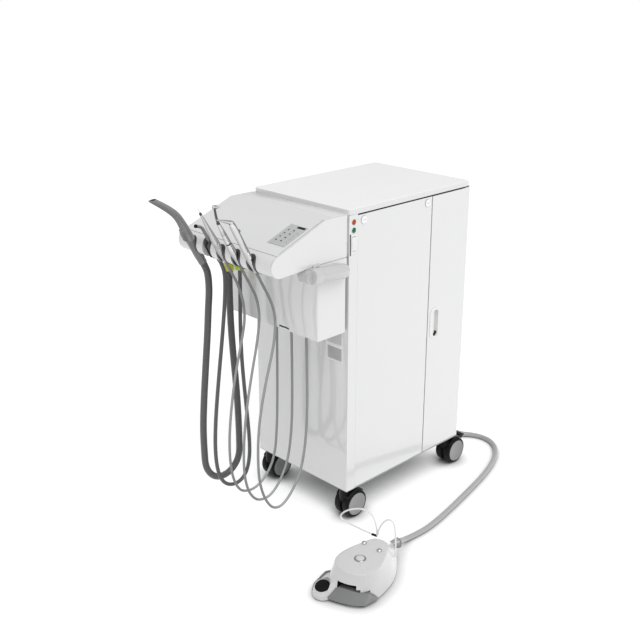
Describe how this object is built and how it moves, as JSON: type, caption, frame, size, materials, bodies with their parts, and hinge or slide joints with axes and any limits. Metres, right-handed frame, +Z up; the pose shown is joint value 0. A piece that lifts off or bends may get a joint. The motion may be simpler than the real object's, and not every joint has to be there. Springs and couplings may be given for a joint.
{
  "type": "portable dental unit",
  "caption": "Wheeled cabinet with an instrument console across its front, dental instruments on hanging hoses, a hose box, opening doors and a foot control on the floor.",
  "frame": {"origin": "on the floor, below the middle of the whole unit without its hoses", "axes": "+Z up, -Y towards the instrument console, +X towards the doors"},
  "size_m": [0.6217, 0.9852, 0.8718],
  "materials": {
    "white_paint": "semi-gloss powder coat",
    "pan_paint": "grey powder coat",
    "worktop": "fine matte laminate",
    "holder": "moulded, satin",
    "liner": "soft dark liner",
    "keypad": "printed membrane",
    "lamps": "translucent lamp caps",
    "black_plastic": "moulded",
    "lock_metal": "polished",
    "steel": "plain",
    "pull": "moulded",
    "pump": "painted castings",
    "canister": "translucent moulding",
    "supply": "dark enclosure",
    "bar": "moulded",
    "coupling": "coloured moulding",
    "service_plate": "plain",
    "instrument_plastic": "autoclavable grip",
    "instrument_metal": "satin",
    "button_green": "moulded",
    "hose_rubber": "smooth silicone",
    "caster_black": "moulded nylon",
    "caster_wheel": "tread with light hub caps",
    "foot_white": "moulded",
    "foot_grey": "moulded",
    "foot_dark": "soft cap",
    "wire_white": "coated wire"
  },
  "bodies": {
    "cabinet": {"base_pan": "pan_paint", "compressor": "pump", "console_floor": "white_paint", "console_shell": "white_paint", "console_sides": "white_paint", "door_frame": "white_paint", "door_hinges": "steel", "foot_base": "foot_grey", "foot_gland": "foot_dark", "foot_handle": "wire_white", "foot_hose": "hose_rubber", "foot_housing": "foot_white", "front_panel": "white_paint", "grab_bar": "bar", "holder_bar": "holder", "hose_box": "white_paint", "hose_drill": "hose_rubber", "hose_outlets": "black_plastic", "hose_saliva": "hose_rubber", "hose_scaler": "hose_rubber", "hose_suction": "hose_rubber", "hose_syringe": "hose_rubber", "indicator_lamps": "lamps", "keypad": "keypad", "power_supply": "supply", "rear_fittings": "black_plastic", "rear_panel": "white_paint", "return_couplings": "coupling", "service_plate": "service_plate", "side_panel_left": "white_paint", "slot_liners": "liner", "switch_bezel": "black_plastic", "waste_canister": "canister", "water_bottle": "canister", "worktop": "worktop"},
    "rocker": {"switch_rocker": "black_plastic"},
    "access_panel": {"access_panel": "white_paint"},
    "front_lock": {"lock_front": "lock_metal"},
    "rear_lock": {"lock_rear": "lock_metal"},
    "service_door": {"service_door": "white_paint", "door_pull": "pull"},
    "suction_handpiece": {"suction_handpiece": "instrument_plastic"},
    "saliva_handpiece": {"saliva_handpiece": "instrument_plastic"},
    "scaler_handpiece": {"scaler_handpiece": "instrument_plastic"},
    "drill_handpiece": {"drill_handpiece": "instrument_metal"},
    "syringe": {"syringe": "instrument_metal"},
    "syringe_button": {"syringe_button": "button_green"},
    "foot_pedal": {"foot_pedal": "foot_grey"},
    "foot_button": {"foot_button": "foot_dark"},
    "foot_toe_button": {"foot_toe_button": "foot_dark"},
    "caster_front_left": {"caster_fork_front_left": "caster_black"},
    "wheels_front_left": {"caster_wheels_front_left": "caster_wheel"},
    "caster_front_right": {"caster_fork_front_right": "caster_black"},
    "wheels_front_right": {"caster_wheels_front_right": "caster_wheel"},
    "caster_rear_left": {"caster_fork_rear_left": "caster_black"},
    "wheels_rear_left": {"caster_wheels_rear_left": "caster_wheel"},
    "brake_rear_left": {"caster_brake_rear_left": "caster_black"},
    "caster_rear_right": {"caster_fork_rear_right": "caster_black"},
    "wheels_rear_right": {"caster_wheels_rear_right": "caster_wheel"},
    "brake_rear_right": {"caster_brake_rear_right": "caster_black"}
  },
  "joints": [
    {"name": "rocker_tilt", "type": "hinge", "parent": "cabinet", "child": "rocker", "pos_m": [0.01983, -0.05896, 0.7445], "axis": [0, 1, 0], "range_deg": [-7, 7]},
    {"name": "access_panel_tip", "type": "hinge", "parent": "cabinet", "child": "access_panel", "pos_m": [0.02283, 0.09204, 0.0924], "axis": [0, 1, 0], "range_deg": [0, 40]},
    {"name": "front_lock_turn", "type": "hinge", "parent": "access_panel", "child": "front_lock", "pos_m": [0.01733, -0.02496, 0.797], "axis": [1, 0, 0], "range_deg": [0, 90]},
    {"name": "rear_lock_turn", "type": "hinge", "parent": "access_panel", "child": "rear_lock", "pos_m": [0.01733, 0.20664, 0.797], "axis": [1, 0, 0], "range_deg": [-90, 0]},
    {"name": "service_door_swing", "type": "hinge", "parent": "cabinet", "child": "service_door", "pos_m": [0.01883, 0.37354, 0.45], "axis": [0, 0, 1], "range_deg": [0, 100]},
    {"name": "suction_handpiece_lift", "type": "slide", "parent": "cabinet", "child": "suction_handpiece", "axis": [0, -0.4695, 0.8829], "range_m": [0, 0.08]},
    {"name": "saliva_handpiece_lift", "type": "slide", "parent": "cabinet", "child": "saliva_handpiece", "axis": [0, -0.4695, 0.8829], "range_m": [0, 0.08]},
    {"name": "scaler_handpiece_lift", "type": "slide", "parent": "cabinet", "child": "scaler_handpiece", "axis": [0, -0.4695, 0.8829], "range_m": [0, 0.08]},
    {"name": "drill_handpiece_lift", "type": "slide", "parent": "cabinet", "child": "drill_handpiece", "axis": [0, -0.4695, 0.8829], "range_m": [0, 0.08]},
    {"name": "syringe_lift", "type": "slide", "parent": "cabinet", "child": "syringe", "axis": [0, -0.4695, 0.8829], "range_m": [0, 0.08]},
    {"name": "syringe_button_press", "type": "slide", "parent": "syringe", "child": "syringe_button", "axis": [0, -0.8829, -0.4695], "range_m": [0, 0.002], "stiffness_N_per_m": 300},
    {"name": "foot_pedal_press", "type": "hinge", "parent": "cabinet", "child": "foot_pedal", "pos_m": [0.25918, -0.29536, 0.017], "axis": [0.9694, 0.2453, 0], "range_deg": [0, 4], "stiffness_Nm_per_rad": 12},
    {"name": "foot_button_press", "type": "slide", "parent": "cabinet", "child": "foot_button", "axis": [0, 0, -1], "range_m": [0, 0.003], "stiffness_N_per_m": 400},
    {"name": "foot_toe_button_press", "type": "slide", "parent": "cabinet", "child": "foot_toe_button", "axis": [0, 0, -1], "range_m": [0, 0.003], "stiffness_N_per_m": 400},
    {"name": "caster_swivel_front_left", "type": "hinge", "parent": "cabinet", "child": "caster_front_left", "pos_m": [-0.28617, -0.05546, 0.088], "axis": [0, 0, 1], "continuous": true},
    {"name": "caster_roll_front_left", "type": "hinge", "parent": "caster_front_left", "child": "wheels_front_left", "pos_m": [-0.28617, -0.03346, 0.0375], "axis": [1, 0, 0], "continuous": true},
    {"name": "caster_swivel_front_right", "type": "hinge", "parent": "cabinet", "child": "caster_front_right", "pos_m": [0.00083, -0.05546, 0.088], "axis": [0, 0, 1], "continuous": true},
    {"name": "caster_roll_front_right", "type": "hinge", "parent": "caster_front_right", "child": "wheels_front_right", "pos_m": [0.00083, -0.03346, 0.0375], "axis": [1, 0, 0], "continuous": true},
    {"name": "caster_swivel_rear_left", "type": "hinge", "parent": "cabinet", "child": "caster_rear_left", "pos_m": [-0.28617, 0.35954, 0.088], "axis": [0, 0, 1], "continuous": true},
    {"name": "caster_roll_rear_left", "type": "hinge", "parent": "caster_rear_left", "child": "wheels_rear_left", "pos_m": [-0.28617, 0.38154, 0.0375], "axis": [1, 0, 0], "continuous": true},
    {"name": "caster_brake_rear_left_press", "type": "hinge", "parent": "caster_rear_left", "child": "brake_rear_left", "pos_m": [-0.28617, 0.41254, 0.071], "axis": [-1, 0, 0], "range_deg": [0, 18]},
    {"name": "caster_swivel_rear_right", "type": "hinge", "parent": "cabinet", "child": "caster_rear_right", "pos_m": [0.00083, 0.35954, 0.088], "axis": [0, 0, 1], "continuous": true},
    {"name": "caster_roll_rear_right", "type": "hinge", "parent": "caster_rear_right", "child": "wheels_rear_right", "pos_m": [0.00083, 0.38154, 0.0375], "axis": [1, 0, 0], "continuous": true},
    {"name": "caster_brake_rear_right_press", "type": "hinge", "parent": "caster_rear_right", "child": "brake_rear_right", "pos_m": [0.00083, 0.41254, 0.071], "axis": [-1, 0, 0], "range_deg": [0, 18]}
  ]
}
